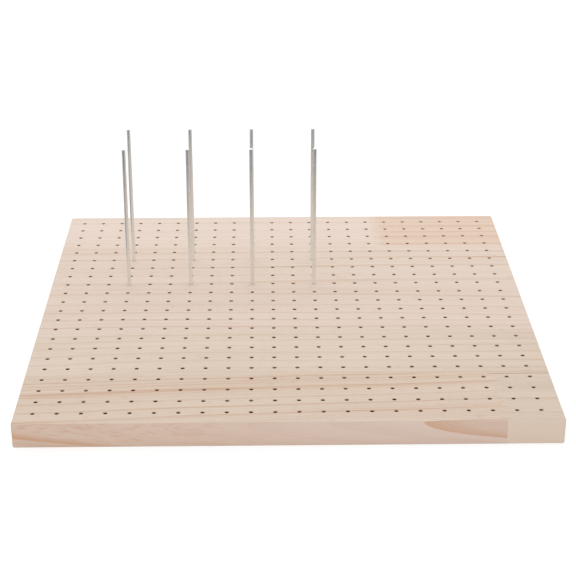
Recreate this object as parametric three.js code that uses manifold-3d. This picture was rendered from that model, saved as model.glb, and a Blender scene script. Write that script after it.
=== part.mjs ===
import * as THREE from "three";
import { mergeGeometries, mergeVertices } from "three/addons/utils/BufferGeometryUtils.js";
import Module from "manifold-3d";

// A blocking board for knitting and crochet. A panel of edge-glued pine staves is drilled with a
// square grid of blind peg holes, and steel pins stand in the holes to hold a piece stretched to
// shape while it dries. Millimetres, +Z up, +X to the right and +Y away from the front edge.
// The origin is the middle of the panel's underside.

const wasm = await Module();
wasm.setup();

// Grid of peg holes: the centre distance, the columns, and the margins to the panel's edges.
const holePitch = 13.2;
const holeColumns = 22;
const marginLeft = 10.1;
const marginRight = 11.7;
const marginFront = 11.8;
const marginBack = 11.0;

// Panel, planed and sanded after gluing: its thickness, the eased arris and the upright corners.
const panelThickness = 14.5;
const easedEdge = 0.6;
const cornerRadius = 1.0;
const cornerSteps = 3;

const pineColour = new THREE.Color("#e0cebf");
const yellowPineColour = new THREE.Color("#dccab8");
const redPineColour = new THREE.Color("#e3c9b3");
const steelColour = new THREE.Color("#bdbcba");

// Staves from the front to the back: the hole rows that each one carries and, where a finger joint
// lengthens it, the columns left of the joint and the colour of the short end piece. Each seam
// lies off the middle between two rows, towards the back where its shift is positive.
const staves = [
  { name: "front_stave", rows: 4, columnsBeforeJoint: 20, endColour: yellowPineColour },
  { name: "second_stave", rows: 4 },
  { name: "middle_stave", rows: 5 },
  { name: "fourth_stave", rows: 5 },
  { name: "back_stave", rows: 4, columnsBeforeJoint: 16, endColour: redPineColour },
];
const seamShifts = [-1.6, 2.4, 1.3, 3.2];

// Finger joints that lengthen the front and back staves, with the glue film between the fingers.
const fingerLength = 9;
const fingerPitch = 3.8;
const glueFilm = 0.3;

// Pins: round polished rod with chamfered ends, a free sliding fit in the holes.
const pinDiameter = 2.4;
const pinLength = 100;
const pinChamfer = 0.3;
const pinSides = 12;
const pinSeatDepth = 8.3;
const pinPlay = 0.05;
const pinFloorGap = 0.3;
const pinColumns = [3, 6, 9, 12];
const pinRows = [13, 16];
const pinRowNames = ["front", "back"];

// Peg holes, sized for the pins.
const holeSides = 8;
const holeRadius = pinDiameter / 2 + pinPlay;
const holeDepth = pinSeatDepth + pinFloorGap;

const holeRows = staves.reduce((sum, stave) => sum + stave.rows, 0);
const panelWidth = marginLeft + (holeColumns - 1) * holePitch + marginRight;
const panelDepth = marginFront + (holeRows - 1) * holePitch + marginBack;
// Cutting bodies reach this far past the faces that they cut.
const overcut = 2;

// Centre lines of the holes: columns count from the left and rows from the front.
const columnX = (column) => -panelWidth / 2 + marginLeft + column * holePitch;
const rowY = (row) => -panelDepth / 2 + marginFront + row * holePitch;

// A closed geometry as a solid that can be cut, with its shared vertices merged.
function solidFrom(geometry) {
  const bare = geometry.clone();
  bare.deleteAttribute("normal");
  bare.deleteAttribute("uv");
  const merged = mergeVertices(bare);
  return new wasm.Manifold(
    new wasm.Mesh({
      numProp: 3,
      vertProperties: merged.attributes.position.array,
      triVerts: new Uint32Array(merged.index.array),
    }),
  );
}

// A solid's surface as a geometry with flat faces.
function geometryFrom(solid) {
  const mesh = solid.getMesh();
  const indexed = new THREE.BufferGeometry();
  indexed.setAttribute("position", new THREE.BufferAttribute(mesh.vertProperties, 3));
  indexed.setIndex(new THREE.BufferAttribute(mesh.triVerts, 1));
  const flat = indexed.toNonIndexed();
  flat.computeVertexNormals();
  return flat;
}

// The panel's outline with rounded upright corners, drawn inside the eased arris.
function panelOutline() {
  const x = panelWidth / 2 - cornerRadius;
  const y = panelDepth / 2 - cornerRadius;
  const shape = new THREE.Shape();
  shape.absarc(x, -y, cornerRadius, -Math.PI / 2, 0);
  shape.absarc(x, y, cornerRadius, 0, Math.PI / 2);
  shape.absarc(-x, y, cornerRadius, Math.PI / 2, Math.PI);
  shape.absarc(-x, -y, cornerRadius, Math.PI, (Math.PI * 3) / 2);
  return shape;
}

// The glued panel as one block, eased along every arris.
function panelBlank() {
  const geometry = new THREE.ExtrudeGeometry(panelOutline(), {
    depth: panelThickness - 2 * easedEdge,
    bevelThickness: easedEdge,
    bevelSize: easedEdge,
    bevelOffset: -easedEdge,
    bevelSegments: 1,
    curveSegments: cornerSteps,
  });
  geometry.translate(0, 0, easedEdge);
  return solidFrom(geometry);
}

// One drilled hole, with flats that just clear a round of the hole's radius.
function pegHole(x, y) {
  const radius = holeRadius / Math.cos(Math.PI / holeSides);
  const height = holeDepth + overcut;
  const geometry = new THREE.CylinderGeometry(radius, radius, height, holeSides);
  geometry.rotateX(Math.PI / 2);
  geometry.translate(x, y, panelThickness - holeDepth + height / 2);
  return geometry;
}

function allPegHoles() {
  const holes = [];
  for (let row = 0; row < holeRows; row += 1) {
    for (let column = 0; column < holeColumns; column += 1) {
      holes.push(pegHole(columnX(column), rowY(row)));
    }
  }
  return solidFrom(mergeGeometries(holes));
}

// The points of a finger joint from front to back: the line crosses its middle at both ends and
// swings half a finger's length to each side between them.
function fingerLine(x, front, back) {
  const fingers = Math.round((back - front) / fingerPitch);
  const step = (back - front) / fingers;
  const points = [new THREE.Vector2(x, front)];
  for (let finger = 0; finger < fingers; finger += 1) {
    const start = front + finger * step;
    points.push(new THREE.Vector2(x + fingerLength / 2, start + step / 4));
    points.push(new THREE.Vector2(x - fingerLength / 2, start + (step * 3) / 4));
  }
  points.push(new THREE.Vector2(x, back));
  return points;
}

function straightLine(x, front, back) {
  return [new THREE.Vector2(x, front), new THREE.Vector2(x, back)];
}

// A side line carried straight on past the panel's front or back edge where it ends there.
function pastEdges(line) {
  const first = line[0];
  const last = line[line.length - 1];
  const points = [...line];
  if (first.y <= -panelDepth / 2) points.unshift(new THREE.Vector2(first.x, first.y - overcut));
  if (last.y >= panelDepth / 2) points.push(new THREE.Vector2(last.x, last.y + overcut));
  return points;
}

// A block through the whole panel, between two side lines that run from front to back.
function staveBlock(leftLine, rightLine) {
  const outline = [...pastEdges(rightLine), ...pastEdges(leftLine).reverse()];
  const geometry = new THREE.ExtrudeGeometry(new THREE.Shape(outline), {
    depth: panelThickness + 2 * overcut,
    bevelEnabled: false,
  });
  geometry.translate(0, 0, -overcut);
  return solidFrom(geometry);
}

function woodMesh(name, solid, color) {
  const material = new THREE.MeshStandardMaterial({ color, roughness: 0.75, metalness: 0 });
  const mesh = new THREE.Mesh(geometryFrom(solid), material);
  mesh.name = name;
  return mesh;
}

// The drilled panel parted along its seams into the staves that it is glued from.
function panelStaves() {
  const panel = panelBlank().subtract(allPegHoles());
  const left = -panelWidth / 2 - overcut;
  const right = panelWidth / 2 + overcut;
  const group = new THREE.Group();
  let front = -panelDepth / 2;
  let rowsBefore = 0;
  staves.forEach((stave, index) => {
    rowsBefore += stave.rows;
    const last = index === staves.length - 1;
    const back = last ? panelDepth / 2 : rowY(rowsBefore - 0.5) + seamShifts[index];
    const leftEdge = straightLine(left, front, back);
    const rightEdge = straightLine(right, front, back);
    if (stave.columnsBeforeJoint) {
      const joint = columnX(stave.columnsBeforeJoint - 0.5);
      const leftFingers = fingerLine(joint - glueFilm / 2, front, back);
      const rightFingers = fingerLine(joint + glueFilm / 2, front, back);
      const long = panel.intersect(staveBlock(leftEdge, leftFingers));
      const short = panel.intersect(staveBlock(rightFingers, rightEdge));
      group.add(woodMesh(`${stave.name}_long`, long, pineColour));
      group.add(woodMesh(`${stave.name}_short`, short, stave.endColour));
    } else {
      const whole = panel.intersect(staveBlock(leftEdge, rightEdge));
      group.add(woodMesh(stave.name, whole, pineColour));
    }
    front = back;
  });
  return group;
}

// One pin, upright with its lower end at the origin.
function pinGeometry() {
  const radius = pinDiameter / 2;
  const profile = [
    new THREE.Vector2(0, 0),
    new THREE.Vector2(radius - pinChamfer, 0),
    new THREE.Vector2(radius, pinChamfer),
    new THREE.Vector2(radius, pinLength - pinChamfer),
    new THREE.Vector2(radius - pinChamfer, pinLength),
    new THREE.Vector2(0, pinLength),
  ];
  return new THREE.LatheGeometry(profile, pinSides).rotateX(Math.PI / 2);
}

function standingPins() {
  const group = new THREE.Group();
  pinRows.forEach((row, side) => {
    pinColumns.forEach((column, index) => {
      const material = new THREE.MeshStandardMaterial({
        color: steelColour,
        roughness: 0.2,
        metalness: 1,
      });
      const pin = new THREE.Mesh(pinGeometry(), material);
      pin.name = `pin_${pinRowNames[side]}_${index + 1}`;
      pin.position.set(columnX(column), rowY(row), panelThickness - pinSeatDepth);
      group.add(pin);
    });
  });
  return group;
}

const blockingBoard = new THREE.Group();
blockingBoard.add(panelStaves());
blockingBoard.add(standingPins());

export default blockingBoard;
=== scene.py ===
import math

import bpy
import numpy as np
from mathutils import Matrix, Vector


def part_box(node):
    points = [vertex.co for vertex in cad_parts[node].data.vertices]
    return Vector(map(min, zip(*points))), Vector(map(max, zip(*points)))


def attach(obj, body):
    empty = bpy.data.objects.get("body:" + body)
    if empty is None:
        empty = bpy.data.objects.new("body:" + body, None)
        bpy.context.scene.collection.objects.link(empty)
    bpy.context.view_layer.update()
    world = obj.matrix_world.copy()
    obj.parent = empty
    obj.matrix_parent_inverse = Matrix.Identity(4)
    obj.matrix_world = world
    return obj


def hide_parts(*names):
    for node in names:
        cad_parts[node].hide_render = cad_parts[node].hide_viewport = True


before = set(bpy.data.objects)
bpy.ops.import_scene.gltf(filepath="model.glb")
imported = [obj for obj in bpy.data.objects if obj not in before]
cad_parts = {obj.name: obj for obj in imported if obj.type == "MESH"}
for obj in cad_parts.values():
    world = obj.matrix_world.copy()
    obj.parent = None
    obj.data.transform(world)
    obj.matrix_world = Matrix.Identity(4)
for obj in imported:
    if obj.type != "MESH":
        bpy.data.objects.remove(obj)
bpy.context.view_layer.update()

scene = bpy.context.scene
scene.view_settings.view_transform = "Standard"

# The camera: a short telephoto about 0.9 m off, square to the front edge to within a degree, that
# looks down on the board at 24 degrees.
looks_down = 24.2
turned_right = 0.943
camera_data = bpy.data.cameras.new("camera")
camera_data.sensor_width = 36.0
camera_data.lens = 96.98
camera = bpy.data.objects.new("camera", camera_data)
camera.location = (-0.0127, -0.8811, 0.4222)
camera.rotation_euler = (math.radians(90 - looks_down), 0, math.radians(-turned_right))
scene.collection.objects.link(camera)
scene.camera = camera


# The daylight: a white room with a wide softbox overhead and a weaker one low in front, so that
# hardly a shadow falls. What the camera and the polished pins see of the room is plain white.
def add(tree, kind, settings, inputs):
    """Adds one node. The settings are its own properties. An input is named by its label or its
    number, and takes a value, an output socket, or a node, whose first output it then takes."""
    node = tree.nodes.new(kind)
    for name, value in settings.items():
        setattr(node, name, value)
    for name, value in inputs.items():
        if isinstance(value, bpy.types.Node):
            value = value.outputs[0]
        if isinstance(value, bpy.types.NodeSocket):
            tree.links.new(value, node.inputs[name])
        else:
            node.inputs[name].default_value = value
    return node


# What a math node does when it gives the greater of its two inputs.
greater = {"operation": "MAXIMUM"}


def in_view(tree):
    """1 for rays from the camera or off a mirror, and 0 for the rays that carry light."""
    ray = add(tree, "ShaderNodeLightPath", {}, {})
    mirrored = add(tree, "ShaderNodeMath", greater,
                   {0: ray.outputs["Is Glossy Ray"], 1: ray.outputs["Is Transmission Ray"]})
    return add(tree, "ShaderNodeMath", greater, {0: ray.outputs["Is Camera Ray"], 1: mirrored})


white = (1.0, 1.0, 1.0, 1.0)
world = bpy.data.worlds.new("white_room")
world.use_nodes = True
world.node_tree.nodes.clear()
scene.world = world
tree = world.node_tree
daylight = add(tree, "ShaderNodeBackground", {}, {"Color": white, "Strength": 0.72})
walls = add(tree, "ShaderNodeBackground", {}, {"Color": white, "Strength": 1.0})
room = add(tree, "ShaderNodeMixShader", {}, {0: in_view(tree), 1: daylight, 2: walls})
add(tree, "ShaderNodeOutputWorld", {}, {"Surface": room})

for name, width, height, watts, spot, tilt in (
        ("softbox", 1.6, 0.9, 4.4, (0.0, 0.5, 0.9), -25),
        ("front_fill", 1.6, 0.5, 1.6, (0.0, -1.2, 0.3), 80)):
    lamp_data = bpy.data.lights.new(name, "AREA")
    lamp_data.shape = "RECTANGLE"
    lamp_data.size = width
    lamp_data.size_y = height
    lamp_data.energy = watts
    lamp = bpy.data.objects.new(name, lamp_data)
    lamp.location = spot
    lamp.rotation_euler = (math.radians(tilt), 0, 0)
    scene.collection.objects.link(lamp)


# The table: a wide sheet of matt white card that the board lies on. It throws the daylight back as
# card does, and looks nearly as white as the room, with a faint shadow of the board on it.
def level_sheet(name, half, height):
    """A level square with its middle on the upright axis: the corners lie half a side from the
    axis each way, at the height."""
    mesh = bpy.data.meshes.new(name)
    corners = [(-half, -half, height), (half, -half, height), (half, half, height),
               (-half, half, height)]
    mesh.from_pydata(corners, [], [(0, 1, 2, 3)])
    sheet = bpy.data.objects.new(name, mesh)
    scene.collection.objects.link(sheet)
    return sheet


def blank_material(name):
    """A new material whose node tree is still empty."""
    material = bpy.data.materials.new(name)
    material.use_nodes = True
    material.node_tree.nodes.clear()
    return material


table_half = 3.0
table = level_sheet("table", table_half, 0)
white_card = blank_material("white_sheet")
tree = white_card.node_tree
lit = add(tree, "ShaderNodeBsdfDiffuse", {}, {"Color": (0.9, 0.9, 0.9, 1)})
shadow = add(tree, "ShaderNodeBsdfDiffuse", {}, {"Color": (0.35, 0.35, 0.35, 1)})
glow = add(tree, "ShaderNodeEmission", {}, {"Color": white, "Strength": 0.75})
shown = add(tree, "ShaderNodeAddShader", {}, {0: shadow, 1: glow})
card = add(tree, "ShaderNodeMixShader", {}, {0: in_view(tree), 1: lit, 2: shown})
add(tree, "ShaderNodeOutputMaterial", {}, {"Surface": card})
table.data.materials.append(white_card)

# The clear staves: three full-length pieces of planed pine in the middle of the panel. All the
# staves are edge-glued and then sanded together, so their faces are flush and only the panel's own
# edges are eased. The peg holes are drilled blind, and their walls carry painted shade that
# darkens down the hole.
mm = 0.001
hole_pitch = 13.2 * mm
hole_columns = 22
hole_rows = 22
margin_left = 10.1 * mm
margin_front = 11.8 * mm
hole_radius = 1.25 * mm
hole_depth = 8.6 * mm
rim_ease = 0.12 * mm
eased_edge = 0.6 * mm
corner_radius = 1.0 * mm
finger_length = 9 * mm
finger_pitch = 3.8 * mm
past_fingers = 0.5 * mm
finger_root = finger_length / 2 + past_fingers
glue_line = 0.1 * mm

panel_low = np.array(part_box("front_stave_long")[0])
panel_high = np.array(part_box("back_stave_short")[1])
column_x = panel_low[0] + margin_left + hole_pitch * np.arange(hole_columns)
row_y = panel_low[1] + margin_front + hole_pitch * np.arange(hole_rows)
edge_low = panel_low[:2] + eased_edge
edge_high = panel_high[:2] - eased_edge

# Each hole is drawn with sixteen sides. Their points count from the east by the north, and four of
# them lie towards the corners of the hole's cell.
ring_points = 16
ring_turns = np.radians(np.arange(ring_points) * 360 / ring_points)
north_east, north_west, south_west, south_east = 2, 6, 10, 14

# Eased and turned edges are a quarter round in three flats. An edge sharper than this stays crisp.
quarter_round = np.radians([0, 30, 60, 90])
sharp_angle = math.radians(35)


def drilled_cells(x_lines, y_lines, xs, ys):
    """The drilled face as one cell round each hole, of four rings of sixteen points: the drilled
    floor, the top of the wall, the eased rim and the cell's border. A point at angle a of a round
    ring lies at the radius times (cos a, sin a). On the border that direction is lengthened to
    meet a square, and the square is stretched to the lines on its four sides."""
    cos, sin = np.cos(ring_turns), np.sin(ring_turns)
    square = np.maximum(np.abs(cos), np.abs(sin))
    east, north = cos / square, sin / square
    radii = np.array([hole_radius, hole_radius, hole_radius + rim_ease])[:, None]
    cells = np.zeros((len(xs), len(ys), 4, ring_points, 3))
    cells[:, :, :3, :, 0] = xs[:, None, None, None] + radii * cos
    cells[:, :, :3, :, 1] = ys[None, :, None, None] + radii * sin
    to_east, to_west = (x_lines[1:] - xs)[:, None, None], (xs - x_lines[:-1])[:, None, None]
    to_north, to_south = (y_lines[1:] - ys)[:, None], (ys - y_lines[:-1])[:, None]
    cells[:, :, 3, :, 0] = xs[:, None, None] + east * np.where(east > 0, to_east, to_west)
    cells[:, :, 3, :, 1] = ys[:, None] + north * np.where(north > 0, to_north, to_south)
    top = panel_high[2]
    cells[..., 2] = np.array([top - hole_depth, top - rim_ease, top, top])[:, None]
    return cells


def round_panel_corners(cells):
    """Moves the border points at each corner of the panel on to an arc: the three points nearest
    the corner come to its start, middle and end. A corner of a cell that isn't a corner of the
    panel stays as it is."""
    radius = corner_radius - eased_edge
    for column, row, corner in ((0, 0, south_west), (-1, 0, south_east), (-1, -1, north_east),
                                (0, -1, north_west)):
        at = cells[column, row, 3, corner, :2]
        panel_corner = np.where(at > 0, edge_high, edge_low)
        if np.allclose(at, panel_corner):
            turns = ring_turns[corner] + np.radians([-45, 0, 45])
            arc = radius * np.stack([np.cos(turns), np.sin(turns)], axis=1)
            three = np.arange(corner - 1, corner + 2)
            cells[column, row, 3, three, :2] = panel_corner - radius * np.sign(at) + arc


def finger_line(x, front, back):
    """The zigzag of a finger joint, from front to back. It starts and ends on its middle line, and
    swings half a finger to the right at the first quarter of each finger and as far to the left at
    the third."""
    fingers = round((back - front) / finger_pitch)
    quarters = (2 * np.arange(2 * fingers) + 1) / (4 * fingers)
    swing = np.tile([1, -1], fingers) * finger_length / 2
    ys = np.concatenate([[front], front + (back - front) * quarters, [back]])
    xs = x + np.concatenate([[0], swing, [0]])
    line = np.stack([xs, np.clip(ys, edge_low[1], edge_high[1]), np.full(len(xs), panel_high[2])])
    return line.T


def stave_wall(outline):
    """The wall down from an outline, as one ring of points for each height. Where the outline is
    the panel's own edge the rings swell out by a quarter round, which is the eased edge, and draw
    in again at the underside. Elsewhere the wall is upright."""
    out = np.sin(quarter_round)
    swell = eased_edge * np.concatenate([out, out[::-1]])
    drop = eased_edge * (1 - np.cos(quarter_round))
    heights = np.concatenate([panel_high[2] - drop, panel_low[2] + drop[::-1]])
    inner = np.clip(outline[:, :2], panel_low[:2] + corner_radius, panel_high[:2] - corner_radius)
    outward = (outline[:, :2] - inner) / (corner_radius - eased_edge)
    rings = np.repeat(outline[None], len(heights), axis=0)
    rings[..., :2] += swell[:, None, None] * outward
    rings[..., 2] = heights[:, None]
    return rings


def stave_surface(columns, rows, front, back, west_joint=None, east_joint=None):
    """The points, faces and material numbers of one stave: its drilled cells, a flat strip between
    the last cells and each finger joint, the wall round its outline and the underside. Points of
    two parts that lie within a ten-thousandth of a millimetre are made one."""
    xs, ys = column_x[slice(*columns)], row_y[slice(*rows)]
    west = edge_low[0] if west_joint is None else west_joint + finger_root
    east = edge_high[0] if east_joint is None else east_joint - finger_root
    x_lines = np.concatenate([[west], (xs[1:] + xs[:-1]) / 2, [east]])
    y_lines = np.concatenate([[front], (ys[1:] + ys[:-1]) / 2, [back]])
    cells = drilled_cells(x_lines, np.clip(y_lines, edge_low[1], edge_high[1]), xs, ys)
    round_panel_corners(cells)
    border = cells[:, :, 3]
    facing_east = np.arange(south_east, ring_points + north_east) % ring_points
    south = border[:, 0, south_west:south_east].reshape(-1, 3)
    east_side = border[-1][:, facing_east].reshape(-1, 3)
    north = border[::-1, -1, north_east:north_west].reshape(-1, 3)
    west_side = border[0, ::-1, north_west:south_west].reshape(-1, 3)
    strips = []
    if east_joint is not None:
        joint = finger_line(east_joint - glue_line / 2, front, back)
        strips.append(np.concatenate([joint, north[:1], east_side[::-1]]))
        east_side = np.concatenate([east_side[:1], joint])
    if west_joint is not None:
        joint = finger_line(west_joint + glue_line / 2, front, back)[::-1]
        strips.append(np.concatenate([joint, south[:1], west_side[::-1]]))
        west_side = np.concatenate([west_side[:1], joint])
    wall = stave_wall(np.concatenate([south, east_side, north, west_side]))

    parts = [cells.reshape(-1, 3), wall.reshape(-1, 3), *strips]
    points = np.concatenate(parts)
    same_digits = 7
    _, first, number = np.unique(np.round(points, same_digits), axis=0, return_index=True,
                                 return_inverse=True)
    ends = np.cumsum([len(part) for part in parts])
    number = number.reshape(-1)
    cell_at = number[:ends[0]].reshape(cells.shape[:-1])
    wall_at = number[ends[0]:ends[1]].reshape(wall.shape[:-1])
    inner, outer = cell_at[:, :, :-1], cell_at[:, :, 1:]
    around = np.stack([inner, outer, np.roll(outer, -1, 3), np.roll(inner, -1, 3)], axis=-1)
    upper, lower = wall_at[:-1], wall_at[1:]
    down = np.stack([upper, lower, np.roll(lower, -1, 1), np.roll(upper, -1, 1)], axis=-1)
    hole_walls = around[:, :, 0].reshape(-1, 4).tolist()
    hole_floors = cell_at[:, :, 0].reshape(-1, ring_points).tolist()
    faces = hole_walls + hole_floors
    drilled = len(faces)
    faces += around[:, :, 1:].reshape(-1, 4).tolist() + down.reshape(-1, 4).tolist()
    faces += [wall_at[-1, ::-1].tolist()]
    faces += [number[start:end].tolist() for start, end in zip(ends[1:-1], ends[2:])]
    return points[first], faces, np.arange(len(faces)) < drilled


def linear(code):
    """The linear colour of an sRGB hex code. A channel c becomes ((c + 0.055) / 1.055) to the
    power 2.4, or c / 12.92 in the deepest darks."""
    channels = np.array([int(code[place:place + 2], 16) for place in (1, 3, 5)]) / 255
    bright = ((channels + 0.055) / 1.055) ** 2.4
    return (*np.where(channels < 0.04045, channels / 12.92, bright).tolist(), 1.0)


# What a math node does with its inputs a, b and c, be they numbers or vectors: a + b, a - b, a b,
# a b + c, and a without its sign.
plus = {"operation": "ADD"}
minus = {"operation": "SUBTRACT"}
times = {"operation": "MULTIPLY"}
times_plus = {"operation": "MULTIPLY_ADD"}
size_only = {"operation": "ABSOLUTE"}


def pine(name, front, colours, sway, reach, depth_curve, wave, ring, rings, fade=0.4, heart=None,
         fall=0.0):
    """Pine, planed along the grain and sanded but not finished: matt, with a faint silk on the
    fibres. The colours are those of early wood, plain wood, late wood and the strong rings, and
    then, on the planed edges, of the wood and of the strong rings.

    One solid field gives it all, the place across the growth rings in mm. It is the distance
    behind the stave's front, less the sway, plus d (lean + curl d), where d is the depth below the
    face, and it wanders by the wave. So the rings run on from face to face. The sway is how far
    back the rings lie at five places from the left end to the right, first of those along the
    front and then of those past the reach.

    A ring's late wood darkens towards its back and ends there within the fade. The listed rings
    are the strong ones: place, width, and strength at the left end, in the middle and at the right
    end. Weaker ones lie between them, a ring's width apart. The wood in front of the place heart
    is heartwood, tinted up to a sharp line, and the sapwood next to it is the palest, and clear on
    the planed edge. The tone sinks by the fall towards the right end."""
    early, wood, late, stain, edge, edge_stain = (linear(code) for code in colours)
    lean, curl = depth_curve
    material = blank_material(name)
    tree = material.node_tree
    coordinates = add(tree, "ShaderNodeTexCoord", {}, {})
    place = coordinates.outputs["Object"]
    split = add(tree, "ShaderNodeSeparateXYZ", {}, {0: place})

    # The rings wander once in 110 mm along the grain and in 35 mm across it, and in each stave in
    # another way.
    stretched = add(tree, "ShaderNodeVectorMath", times_plus,
                    {0: place, 1: (9, 28, 28), 2: (0, 0, front / mm)})
    wander = add(tree, "ShaderNodeTexNoise", {}, {"Vector": stretched, "Scale": 1.0, "Detail": 1.0})

    # A colour ramp holds 0 to 1, so it keeps the sway as a share of the widest one to either side.
    along = add(tree, "ShaderNodeMapRange", {}, {0: split, 1: panel_low[0], 2: panel_high[0]})
    widest = 20.0
    curves = add(tree, "ShaderNodeValToRGB", {}, {0: along})
    ramp = curves.color_ramp
    ramp.interpolation = "CARDINAL"
    for stop in (0.25, 0.5, 0.75):
        ramp.elements.new(stop)
    for element, by_front, by_back in zip(ramp.elements, *sway):
        element.color = (0.5 + by_front / widest / 2, 0.5 + by_back / widest / 2, 0, 1)
    swayed = add(tree, "ShaderNodeSeparateColor", {}, {0: curves})
    behind = add(tree, "ShaderNodeMath", times_plus, {0: split.outputs["Y"], 1: 1 / mm, 2: -front / mm})
    past = add(tree, "ShaderNodeMapRange", {}, {0: behind, 1: 0.0, 2: reach})
    shift = add(tree, "ShaderNodeMix", {},
                {0: past, 2: swayed.outputs["Red"], 3: swayed.outputs["Green"]})
    depth = add(tree, "ShaderNodeMath", times_plus,
                {0: split.outputs["Z"], 1: -1 / mm, 2: panel_high[2] / mm})
    across = add(tree, "ShaderNodeMath", plus, {0: behind, 1: widest - wave})
    across = add(tree, "ShaderNodeMath", times_plus, {0: shift, 1: -2 * widest, 2: across})
    leaning = add(tree, "ShaderNodeMath", times_plus, {0: depth, 1: curl, 2: lean})
    across = add(tree, "ShaderNodeMath", times_plus, {0: depth, 1: leaning, 2: across})
    across = add(tree, "ShaderNodeMath", times_plus, {0: wander, 1: 2 * wave, 2: across})

    # The grain's own coordinates count in mm across it and below, and in 100 mm along it.
    lengthwise = add(tree, "ShaderNodeMath", times, {0: split, 1: 1 / (100 * mm)})
    below = add(tree, "ShaderNodeMath", plus, {0: depth, 1: front / mm})
    grain = add(tree, "ShaderNodeCombineXYZ", {}, {0: lengthwise, 1: across, 2: below})

    # Bands of 15 mm, lines of 2 mm and fibres of 0.3 mm, all drawn out along the grain. Real
    # fibres are ten times finer, and are drawn this coarse so that they show.
    tone = add(tree, "ShaderNodeMapRange", {}, {0: along, 1: 0.6, 2: 1.0, 3: 0.5, 4: 0.5 - fall})
    for scale, detail, weight in (((0.5, 0.07, 0.07), 1.0, 0.45), ((0.6, 0.5, 0.3), 2.0, 0.35),
                                  ((7.0, 3.0, 3.0), 2.0, 0.2)):
        drawn = add(tree, "ShaderNodeVectorMath", times, {0: grain, 1: scale})
        fibre = add(tree, "ShaderNodeTexNoise", {},
                    {"Vector": drawn, "Scale": 1.0, "Detail": detail, "Roughness": 0.6})
        tone = add(tree, "ShaderNodeMath", plus, {0: tone, 1: -0.5 * weight})
        tone = add(tree, "ShaderNodeMath", times_plus, {0: fibre, 1: weight, 2: tone})

    # Each year's growth turns from early wood to late wood. It shows faintly on the face, more on
    # the planed edges and most on the sawn ends.
    years = add(tree, "ShaderNodeMath", times_plus, {0: across, 1: 1 / ring, 2: wander})
    year = add(tree, "ShaderNodeMath", {"operation": "FRACT"}, {0: years})
    late_wood = add(tree, "ShaderNodeMath", {"operation": "POWER"}, {0: year, 1: 3.0})
    facing = add(tree, "ShaderNodeSeparateXYZ", {}, {0: coordinates.outputs["Normal"]})
    on_end = add(tree, "ShaderNodeMath", size_only, {0: facing.outputs["X"]})
    on_edge = add(tree, "ShaderNodeMath", size_only, {0: facing.outputs["Y"]})
    darkening = add(tree, "ShaderNodeMath", times_plus, {0: on_edge, 1: -0.12, 2: -0.16})
    darkening = add(tree, "ShaderNodeMath", times_plus, {0: on_end, 1: -0.5, 2: darkening})
    tone = add(tree, "ShaderNodeMath", plus, {0: tone, 1: 0.04})
    tone = add(tree, "ShaderNodeMath", times_plus, {0: late_wood, 1: darkening, 2: tone})
    plain = add(tree, "ShaderNodeValToRGB", {}, {0: tone})
    ramp = plain.color_ramp
    ramp.elements[0].color = late
    ramp.elements[1].color = early
    ramp.elements.new(0.5).color = wood
    mostly_edge = add(tree, "ShaderNodeMath", times, {0: on_edge, 1: 0.7})
    edged = add(tree, "ShaderNodeMix", {"data_type": "RGBA"}, {0: mostly_edge, 6: plain, 7: edge})

    # The strong rings. The red, green and blue of one ramp hold their strengths at the left, in the
    # middle and at the right. They fade and come back every 60 mm or so along the grain.
    spare = 1
    low, high = rings[0][0] - rings[0][1] - spare, rings[-1][0] + fade + spare
    marked = add(tree, "ShaderNodeMapRange", {}, {0: across, 1: low, 2: high})
    marks = add(tree, "ShaderNodeValToRGB", {}, {0: marked})
    ramp = marks.color_ramp
    ramp.elements.remove(ramp.elements[1])
    ramp.elements[0].color = (0, 0, 0, 1)
    last = low
    for line, width, *strengths in rings:
        for stop, share in ((line - width, 0), (line, 1), (line + fade, 0)):
            if stop > last:
                colour = (*(share * strength for strength in strengths), 1)
                ramp.elements.new((stop - low) / (high - low)).color = colour
                last = stop
    nearness = add(tree, "ShaderNodeValToRGB", {}, {0: along})
    ramp = nearness.color_ramp
    ramp.elements[0].color = (1, 0, 0, 1)
    ramp.elements[1].color = (0, 0, 1, 1)
    ramp.elements.new(0.5).color = (0, 1, 0, 1)
    listed = add(tree, "ShaderNodeVectorMath", {"operation": "DOT_PRODUCT"}, {0: marks, 1: nearness})
    drawn = add(tree, "ShaderNodeVectorMath", times, {0: grain, 1: (1.7, 0.12, 0.05)})
    uneven = add(tree, "ShaderNodeTexNoise", {}, {"Vector": drawn, "Scale": 1.0, "Detail": 1.0})
    patchy = add(tree, "ShaderNodeMapRange", {}, {0: uneven, 1: 0.35, 2: 0.65, 3: 0.75, 4: 1.25})
    stained = add(tree, "ShaderNodeMath", {"operation": "MULTIPLY", "use_clamp": True},
                  {0: listed.outputs["Value"], 1: patchy})

    # Resin leaves short brown flecks on the sanded face, 6 mm long and half a millimetre wide.
    drawn = add(tree, "ShaderNodeVectorMath", times, {0: grain, 1: (15, 1.8, 1.8)})
    resin = add(tree, "ShaderNodeTexNoise", {}, {"Vector": drawn, "Scale": 1.0, "Detail": 0.0})
    flecks = add(tree, "ShaderNodeMapRange", {}, {0: resin, 1: 0.7, 2: 0.8, 3: 0.0, 4: 0.5})
    off_edge = add(tree, "ShaderNodeMath", minus, {0: 1.0, 1: on_edge})
    flecks = add(tree, "ShaderNodeMath", times, {0: flecks, 1: off_edge})
    stained = add(tree, "ShaderNodeMath", greater, {0: stained, 1: flecks})

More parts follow.
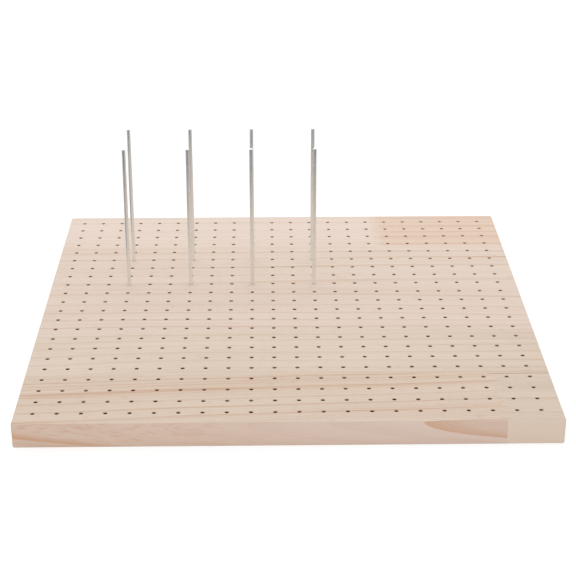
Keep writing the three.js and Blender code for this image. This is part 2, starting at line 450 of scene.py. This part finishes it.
    # On the planed edges thin streaks of late wood, 30 mm long, run with the rings. They thin out
    # towards the right end.
    drawn = add(tree, "ShaderNodeVectorMath", times, {0: grain, 1: (3, 3, 0.6)})
    streak = add(tree, "ShaderNodeTexNoise", {}, {"Vector": drawn, "Scale": 1.0, "Detail": 1.0})
    streaks = add(tree, "ShaderNodeMapRange", {}, {0: streak, 1: 0.48, 2: 0.78, 3: 0.0, 4: 0.6})
    thinning = add(tree, "ShaderNodeMapRange", {}, {0: along, 1: 0.1, 2: 0.7, 3: 1.0, 4: 0.1})
    streaks = add(tree, "ShaderNodeMath", times, {0: streaks, 1: thinning})
    streaks = add(tree, "ShaderNodeMath", times, {0: streaks, 1: on_edge})
    stained = add(tree, "ShaderNodeMath", greater, {0: stained, 1: streaks})

    # Heartwood is tinted most next to its sharp line, and the sapwood beyond it is clear.
    sapwood = 0.0
    if heart is not None:
        sharp_line, tinted_width, sapwood_width = 0.06, 1.2, 7
        within = add(tree, "ShaderNodeMapRange", {},
                     {0: across, 1: heart, 2: heart + sharp_line, 3: 1.0, 4: 0.0})
        sapwood = add(tree, "ShaderNodeMapRange", {},
                      {0: across, 1: heart, 2: heart + sapwood_width, 3: 1.0, 4: 0.0})
        outside = add(tree, "ShaderNodeMath", minus, {0: 1.0, 1: within})
        sapwood = add(tree, "ShaderNodeMath", times, {0: sapwood, 1: outside})
        cleared = add(tree, "ShaderNodeMath", times, {0: sapwood, 1: on_edge})
        clear = add(tree, "ShaderNodeMath", minus, {0: 1.0, 1: cleared})
        stained = add(tree, "ShaderNodeMath", times, {0: stained, 1: clear})
        tinted = add(tree, "ShaderNodeMapRange", {},
                     {0: across, 1: heart - tinted_width, 2: heart, 3: 0.05, 4: 0.6})
        tinted = add(tree, "ShaderNodeMath", times, {0: tinted, 1: within})
        stained = add(tree, "ShaderNodeMath", greater, {0: stained, 1: tinted})
    stain_here = add(tree, "ShaderNodeMix", {"data_type": "RGBA"},
                     {0: on_edge, 6: stain, 7: edge_stain})
    streaked = add(tree, "ShaderNodeMix", {"data_type": "RGBA"},
                   {0: stained, 6: edged.outputs[2], 7: stain_here.outputs[2]})

    # The sapwood next to the heartwood is a little paler and less yellow than the rest.
    paled = add(tree, "ShaderNodeMix", {"data_type": "RGBA", "blend_type": "MULTIPLY"},
                {0: sapwood, 6: streaked.outputs[2], 7: (1.05, 1.09, 1.16, 1)})

    # The sawn ends show the cut ends of the fibres, which drink in light.
    sawn = add(tree, "ShaderNodeMapRange", {}, {0: on_end, 1: 0.5, 2: 0.9})
    colour = add(tree, "ShaderNodeMix", {"data_type": "RGBA", "blend_type": "MULTIPLY"},
                 {0: sawn, 6: paled.outputs[2], 7: linear("#f0e6dc")})

    # Light fibres are a little smoother than dark ones and stand a little higher.
    rough = add(tree, "ShaderNodeMapRange", {}, {0: fibre, 1: 0.2, 2: 0.8, 3: 0.72, 4: 0.56})
    relief = add(tree, "ShaderNodeBump", {}, {"Strength": 0.15, "Distance": 0.05 * mm, "Height": fibre})
    surface = add(tree, "ShaderNodeBsdfPrincipled", {},
                  {"Base Color": colour.outputs[2], "Roughness": rough, "Normal": relief, "IOR": 1.5})
    add(tree, "ShaderNodeOutputMaterial", {}, {"Surface": surface})
    return material


# Drilled pine: the wall of a hole is torn end grain and side grain with no shine at all. It is pale
# for half a millimetre or so. Below that it is painted brown to nearly black, which is painted
# shade of the deep hole, from a ragged line that follows the torn tufts, half a millimetre wide.
torn_size = 0.5 * mm
torn_reach = 0.6
drilled_pine_painted_shade = blank_material("drilled_pine_painted_shade")
tree = drilled_pine_painted_shade.node_tree
place = add(tree, "ShaderNodeTexCoord", {}, {}).outputs["Object"]
torn = add(tree, "ShaderNodeTexNoise", {}, {"Vector": place, "Scale": 1 / torn_size, "Detail": 2.0})
height = add(tree, "ShaderNodeSeparateXYZ", {}, {0: place})
sunk = add(tree, "ShaderNodeMath", times_plus,
           {0: height.outputs["Z"], 1: -1 / mm, 2: panel_high[2] / mm})
ragged = add(tree, "ShaderNodeMath", times_plus, {0: torn, 1: torn_reach, 2: sunk})
# Painted shade: below the pale mouth the wall's colour darkens with depth, in place of the shade deep
# in the hole.
shade_depth = add(tree, "ShaderNodeMapRange", {}, {0: ragged, 1: 0.8, 2: 1.1})
painted_hole_shade = add(tree, "ShaderNodeValToRGB", {}, {0: shade_depth})
painted_hole_shade.color_ramp.elements[0].color = linear("#f3dac2")
painted_hole_shade.color_ramp.elements[1].color = linear("#481400")
painted_hole_shade.color_ramp.elements.new(0.4).color = linear("#b66c2e")
surface = add(tree, "ShaderNodeBsdfPrincipled", {},
              {"Base Color": painted_hole_shade, "Roughness": 0.9, "IOR": 1.5, "Specular IOR Level": 0.0})
add(tree, "ShaderNodeOutputMaterial", {}, {"Surface": surface})


def stave(node, columns, rows, slot, look, **joints):
    """Makes one stave in place of its CAD node, which gives its front and back. The columns and
    the rows are those of its holes, from the first up to the one past the last."""
    name = "pine_" + node
    front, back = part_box(node)[0][1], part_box(node)[1][1]
    points, faces, drilled = stave_surface(columns, rows, front, back, **joints)
    mesh = bpy.data.meshes.new(name)
    mesh.from_pydata(points.tolist(), [], faces)
    mesh.polygons.foreach_set("material_index", drilled.astype(np.int32))
    mesh.materials.append(pine(name, front, **look))
    mesh.materials.append(drilled_pine_painted_shade)
    mesh.shade_smooth()
    mesh.set_sharp_from_angle(angle=sharp_angle)
    piece = bpy.data.objects.new(name, mesh)
    scene.collection.objects.link(piece)
    shading = piece.modifiers.new("flat_faces_shade_flat", "WEIGHTED_NORMAL")
    shading.keep_sharp = True
    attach(piece, "board")
    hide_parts(node)


stave("second_stave", (0, 22), (4, 8), "pine", {
    "colours": ("#ecdccd", "#decbba", "#cbb39b", "#c4a68a", "#d6bdaa", "#c6ae98"),
    "sway": ((-6.5, 0, 0, -1.2, -2), (-1.5, 0, 0, 0, 0.5)), "reach": 56.0,
    "depth_curve": (0.3, 0.01), "wave": 0.5, "ring": 3.4, "fall": 0.15,
    "rings": [(3, 2.5, 0.15, 0.3, 0.6), (8.6, 2, 0.15, 0.15, 0.35), (17.6, 1.8, 0.35, 0.4, 0.55),
              (27.9, 1.8, 0.4, 0.4, 0.5), (37, 2, 0.35, 0.35, 0.5), (44.4, 2, 0.35, 0.35, 0.5),
              (51.8, 1.8, 0.4, 0.3, 0.4)]})
stave("middle_stave", (0, 22), (8, 13), "pine", {
    "colours": ("#eddcce", "#e1cdbe", "#d1b8a3", "#c8a890", "#d8bfae", "#cdb3a0"),
    "sway": ((-1.5, 1, 0, 0.8, 2.0), (1, 1, 0, -2, -6)), "reach": 20.0,
    "depth_curve": (-0.45, 0.0), "wave": 0.5, "ring": 3.2,
    "rings": [(6.1, 1.3, 0.6, 0.7, 1.0), (9.6, 1, 0.1, 0.1, 0.2), (15.8, 1.6, 0.6, 0.6, 0.35),
              (26.3, 2, 0.45, 0.45, 0.5), (38.1, 2, 0.45, 0.35, 0.5), (54, 2.5, 0.4, 0.5, 0.6),
              (61, 2.5, 0.25, 0.2, 0.15)]})
stave("fourth_stave", (0, 22), (13, 18), "pine", {
    "colours": ("#ecdccf", "#e1cebf", "#d1b8a2", "#c8a384", "#d8bfae", "#cdad94"),
    "sway": ((-2.7, -2.4, 0, 2.7, 3.8), (-1.2, -0.5, 0, 0.5, -1)), "reach": 60.0,
    "depth_curve": (0.35, 0.0), "wave": 0.6, "ring": 3.6,
    "rings": [(8, 4, 0.25, 0.35, 0.35), (9.2, 1, 0.55, 0.7, 0.3), (20, 2, 0.35, 0.25, 0.2),
              (33.4, 3.5, 0.2, 0.6, 0.45), (47.2, 3.5, 0.5, 0.4, 0.8), (58, 3.5, 0.3, 0.35, 0.5),
              (64.5, 2, 0.2, 0.2, 0.2)]})

# The front stave: darker pine with the strongest grain and a wedge of heartwood on its edge. A
# finger joint near its right end lengthens it with a short block of yellower wood, whose rings run
# straight. The fingers are cut to mesh and glued.
front_joint = (column_x[19] + column_x[20]) / 2
straight = ((0, 0, 0, 0, 0), (0, 0, 0, 0, 0))
stave("front_stave_long", (0, 20), (0, 4), "pine", {
    "colours": ("#e8d5c3", "#dbc6b3", "#c8a88a", "#bc8a60", "#e1c5b2", "#cf9a70"),
    "sway": ((-8.4, -3.9, 0, 3.4, 6.2), (-7.5, -3.3, 0, 2.6, 7.5)), "reach": 56.0,
    "depth_curve": (0.0, 0.0184), "wave": 0.4, "ring": 2.6, "fade": 0.25, "heart": -3.3,
    "rings": [(-1.8, 0.5, 0.0, 0.0, 0.8), (9.6, 1.2, 0.8, 0.2, 0.1), (11, 1.2, 0.2, 0.8, 0.5),
              (20.4, 1.5, 0.45, 0.6, 0.55), (29.4, 2, 0.35, 0.3, 0.2), (37.3, 1.4, 0.65, 0.25, 0.05),
              (40.3, 2.7, 0.6, 0.5, 0.15), (41.4, 1, 0.8, 1.0, 1.0), (46.6, 0.7, 0.6, 0.5, 0.4),
              (49.4, 0.7, 0.8, 0.6, 0.4), (53.8, 0.8, 0.9, 0.7, 0.5)]},
      east_joint=front_joint)
stave("front_stave_short", (20, 22), (0, 4), "pine_yellow", {
    "colours": ("#e4d3c2", "#d9c6b4", "#c8b29d", "#b39378", "#efd8c5", "#dcbfa6"),
    "sway": straight, "reach": 56.0, "depth_curve": (0.15, 0.0), "wave": 0.2, "ring": 2.3,
    "rings": [(line, width, strength, strength, strength) for line, width, strength in (
        (9.3, 2.4, 0.3), (25.8, 2.4, 0.35), (33.6, 0.9, 0.25), (36.2, 0.9, 0.35), (38.7, 0.9, 0.35),
        (41, 0.9, 0.35), (43.2, 0.9, 0.35), (45.5, 0.9, 0.3), (50.2, 0.9, 0.3), (55.3, 1.3, 1.0))]},
      west_joint=front_joint)

# The back stave: the palest pine of the panel, with fine grain. A finger joint lengthens it with a
# longer block of reddish wood, whose rings are wide and soft.
back_joint = (column_x[15] + column_x[16]) / 2
stave("back_stave_long", (0, 16), (18, 22), "pine", {
    "colours": ("#efdfd3", "#e5d3c5", "#d7c1af", "#cfb29a", "#dcc4b4", "#d0b19b"),
    "sway": ((0, 0.5, 0, 0.5, 0), (-0.5, 0, 0, -1, -1)), "reach": 50.0,
    "depth_curve": (0.3, 0.0), "wave": 0.8, "ring": 3.5,
    "rings": [(3, 1.4, 0.35, 0.3, 0.3), (6.2, 1.4, 0.55, 0.5, 0.5), (10.8, 1.2, 0.4, 0.25, 0.15),
              (18, 1.5, 0.2, 0.25, 0.2), (28.5, 1.5, 0.2, 0.2, 0.2), (42.6, 1.2, 0.45, 0.35, 0.4),
              (51, 2, 0.2, 0.2, 0.2)]},
      east_joint=back_joint)
stave("back_stave_short", (16, 22), (18, 22), "pine_red", {
    "colours": ("#ead6c5", "#e2cab6", "#d2b59e", "#cfab92", "#dcbfa9", "#cfa589"),
    "sway": straight, "reach": 50.0, "depth_curve": (-0.4, 0.0), "wave": 0.6, "ring": 4.0, "fade": 1.6,
    "rings": [(line, width, strength, strength, strength) for line, width, strength in (
        (2.6, 3, 0.6), (16.4, 6.5, 0.5), (24.2, 2.5, 0.45), (35.6, 5, 0.5), (42.2, 2.2, 0.4),
        (50, 4, 0.35))]},
      west_joint=back_joint)

# The pins: eight rods of bright steel, ground and polished, with a small round turned on both ends.
# Each one drops loosely into its hole and stands on the hole's floor.
pin_sides = 32
pin_end_round = 0.3 * mm
pins_in_row = 4


def turned_rod(x, y, low, high, radius):
    """The points and faces of a round rod: the profile of half the rod, turned about the upright
    line through (x, y). The profile is a list of radii and heights: a quarter round of angle a at
    the lower end, at the radius less end_round (1 - sin a) and the height end_round (1 - cos a),
    and its mirror image at the top."""
    inset = pin_end_round * (1 - np.sin(quarter_round))
    rise = pin_end_round * (1 - np.cos(quarter_round))
    radii = radius - np.concatenate([inset, inset[::-1]])
    heights = np.concatenate([low + rise, high - rise[::-1]])
    around = 2 * math.pi * np.arange(pin_sides) / pin_sides
    points = np.zeros((len(radii), pin_sides, 3))
    points[..., 0] = x + radii[:, None] * np.cos(around)
    points[..., 1] = y + radii[:, None] * np.sin(around)
    points[..., 2] = heights[:, None]
    numbers = np.arange(points[..., 0].size).reshape(points.shape[:2])
    lower, upper = numbers[:-1], numbers[1:]
    sides = np.stack([lower, np.roll(lower, -1, 1), np.roll(upper, -1, 1), upper], axis=-1)
    ends = [numbers[0, ::-1].tolist(), numbers[-1].tolist()]
    return points.reshape(-1, 3).tolist(), sides.reshape(-1, 4).tolist() + ends


# Polished steel is a mirror with a slight haze: it shows the white room, the wood and the painted
# shade on the grey card round the board. The fine scratches of handling run along the rod, and are
# drawn a third of a millimetre wide, much coarser than real ones, so that they show.
polished_steel = blank_material("polished_steel")
tree = polished_steel.node_tree
place = add(tree, "ShaderNodeTexCoord", {}, {}).outputs["Object"]
drawn = add(tree, "ShaderNodeVectorMath", times, {0: place, 1: (3000, 3000, 60)})
scratches = add(tree, "ShaderNodeTexNoise", {}, {"Vector": drawn, "Scale": 1.0, "Detail": 2.0})
haze = add(tree, "ShaderNodeMapRange", {}, {0: scratches, 1: 0.3, 2: 0.7, 3: 0.24, 4: 0.33})
steel = add(tree, "ShaderNodeValToRGB", {}, {0: scratches})
steel.color_ramp.elements[0].color = linear("#eaeeed")
steel.color_ramp.elements[1].color = linear("#f4f8f7")
surface = add(tree, "ShaderNodeBsdfPrincipled", {},
              {"Base Color": steel, "Metallic": 1.0, "Roughness": haze})
add(tree, "ShaderNodeOutputMaterial", {}, {"Surface": surface})

for row in ("front", "back"):
    for number in range(1, pins_in_row + 1):
        node = f"pin_{row}_{number}"
        low, high = (np.array(corner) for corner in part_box(node))
        centre = (low + high) / 2
        points, faces = turned_rod(centre[0], centre[1], low[2], high[2], (high[0] - low[0]) / 2)
        mesh = bpy.data.meshes.new("steel_" + node)
        mesh.from_pydata(points, [], faces)
        mesh.materials.append(polished_steel)
        mesh.shade_smooth()
        mesh.set_sharp_from_angle(angle=sharp_angle)
        pin = bpy.data.objects.new("steel_" + node, mesh)
        scene.collection.objects.link(pin)
        shading = pin.modifiers.new("straight_sides_shade_straight", "WEIGHTED_NORMAL")
        shading.keep_sharp = True
        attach(pin, f"{row}_pin_{number}")
        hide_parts(node)

# The table as the polished pins see it, in painted shade: a card that gives off its own grey and that
# only mirrors see, so it neither shades the board nor adds to its light. Its grey is painted shade of
# the board round it, more on the left. In front of the board it is painted darker, nearly black
# within about 10 cm of its front edge, as the room's shade on the floor there.
shade_half = 0.9
shade_card = level_sheet("table_painted_shade", shade_half, mm)
shade_card.visible_camera = False
shade_card.visible_diffuse = False
shade_card.visible_shadow = False
shade_card.visible_transmission = False
painted_shade_material = blank_material("painted_shade_sheet")
tree = painted_shade_material.node_tree
place = add(tree, "ShaderNodeTexCoord", {}, {}).outputs["Object"]
split = add(tree, "ShaderNodeSeparateXYZ", {}, {0: place})

# In front of the board the shade goes by the distance from the middle of the pins, and behind its
# front by the place from left to right, where 0.5 is the middle, both in metres.
among_pins = (-0.04, 0.035, 0)
from_pins = add(tree, "ShaderNodeVectorMath", {"operation": "DISTANCE"}, {0: place, 1: among_pins})
near_edge = add(tree, "ShaderNodeValToRGB", {}, {0: from_pins.outputs["Value"]})
sideways = add(tree, "ShaderNodeMath", plus, {0: split.outputs["X"], 1: 0.5})
round_board = add(tree, "ShaderNodeValToRGB", {}, {0: sideways})
for node, stops in (
        (near_edge, ((0.19, 0.68, 0.73, 0.79), (0.235, 0.4, 0.43, 0.47), (0.257, 0.1, 0.11, 0.12),
                     (0.28, 0.02, 0.02, 0.03))),
        (round_board, ((0.12, 0.84, 0.84, 0.86), (0.19, 0.68, 0.68, 0.69), (0.26, 0.3, 0.3, 0.3),
                       (0.6, 0.52, 0.52, 0.52), (0.85, 0.62, 0.62, 0.64)))):
    elements = node.color_ramp.elements
    elements.remove(elements[1])
    elements[0].position = stops[0][0]
    elements[0].color = (*stops[0][1:], 1)
    for position, *grey in stops[1:]:
        elements.new(position).color = (*grey, 1)
behind = add(tree, "ShaderNodeMapRange", {}, {0: split.outputs["Y"], 1: -0.14, 2: -0.04})
shade = add(tree, "ShaderNodeMix", {"data_type": "RGBA"}, {0: behind, 6: near_edge, 7: round_board})
# Painted shade: the card glows with the grey of the ramps, in place of the shade round the board.
grey = add(tree, "ShaderNodeEmission", {}, {"Color": shade.outputs[2]})
add(tree, "ShaderNodeOutputMaterial", {}, {"Surface": grey})
shade_card.data.materials.append(painted_shade_material)
